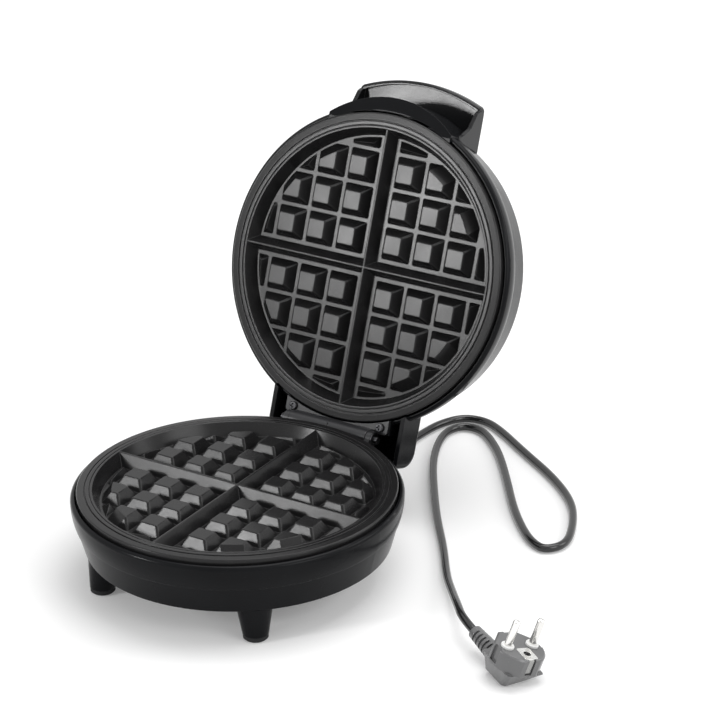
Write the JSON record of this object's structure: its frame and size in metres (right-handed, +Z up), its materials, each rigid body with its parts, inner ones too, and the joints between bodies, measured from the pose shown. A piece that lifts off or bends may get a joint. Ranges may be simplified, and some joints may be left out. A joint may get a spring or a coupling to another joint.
{
  "type": "waffle maker",
  "caption": "Round tabletop waffle maker on feet, with a hinged lid, a front grip, matching grid plates and a mains lead with an earthed plug.",
  "frame": {"origin": "on the table under the centre of the round base", "axes": "+Z up, -Y to the front where the lid's grip closes, +Y to the hinge, +X to the right"},
  "size_m": [0.3482, 0.3814, 0.2646],
  "materials": {
    "housing": "gloss black moulded plastic",
    "rubber": "matt black rubber",
    "nonstick_plate": "satin charcoal non-stick coating",
    "hinge_metal": "dark semi-gloss paint",
    "screw_steel": "blackened steel",
    "element_steel": "bare steel sheath",
    "shield_sheet": "bright sheet",
    "contact_brass": "nickel-plated brass",
    "thermostat_case": "plain steel can",
    "inner_plastic": "natural plastic",
    "lead_sleeve": "woven glass sleeve",
    "cord_sheath": "dark grey PVC sheath",
    "plug_plastic": "satin mid grey PVC",
    "pin_nickel": "bright nickel",
    "collar_white": "white insulation",
    "red_lens": "clear red plastic",
    "green_lens": "clear green plastic",
    "lamp_glass": "small neon lamp"
  },
  "bodies": {
    "base": {"base_shell": "housing", "base_cover": "housing", "base_cover_screws": "screw_steel", "foot_pad_front_left": "rubber", "foot_pad_front_right": "rubber", "foot_pad_rear_left": "rubber", "foot_pad_rear_right": "rubber", "heel_pad_left": "rubber", "heel_pad_right": "rubber", "lower_plate": "nonstick_plate", "lower_plate_screws": "screw_steel", "lower_element": "element_steel", "lower_element_terminals": "contact_brass", "lower_heat_shield": "shield_sheet", "lower_thermostat": "thermostat_case", "terminal_block": "inner_plastic", "element_leads": "lead_sleeve", "thermostat_lead": "lead_sleeve", "lower_hinge_bracket": "hinge_metal", "lower_hinge_screws": "screw_steel", "hinge_pin": "screw_steel", "hinge_pin_clips": "screw_steel", "cord_gland": "rubber", "cord_tail": "cord_sheath", "cord_clamp": "inner_plastic", "cord_clamp_screws": "screw_steel", "mains_cord": "cord_sheath", "plug_body": "plug_plastic", "plug_pins": "pin_nickel", "plug_pin_collars": "collar_white", "plug_earth_plate": "contact_brass", "plug_earth_clips": "contact_brass", "plug_relief": "plug_plastic"},
    "lid": {"lid_shell": "housing", "lid_handle": "housing", "handle_screws": "screw_steel", "upper_plate": "nonstick_plate", "upper_plate_screws": "screw_steel", "upper_element": "element_steel", "upper_element_terminals": "contact_brass", "upper_heat_shield": "shield_sheet", "upper_thermostat": "thermostat_case", "lid_hinge_bracket": "hinge_metal", "lid_hinge_screws": "screw_steel", "power_lamp_lens": "red_lens", "ready_lamp_lens": "green_lens", "lamp_bodies": "lamp_glass"}
  },
  "joints": [
    {"name": "lid_hinge", "type": "hinge", "parent": "base", "child": "lid", "pos_m": [0, 0.1105, 0.0562], "axis": [1, 0, 0], "range_deg": [0, 110]}
  ]
}
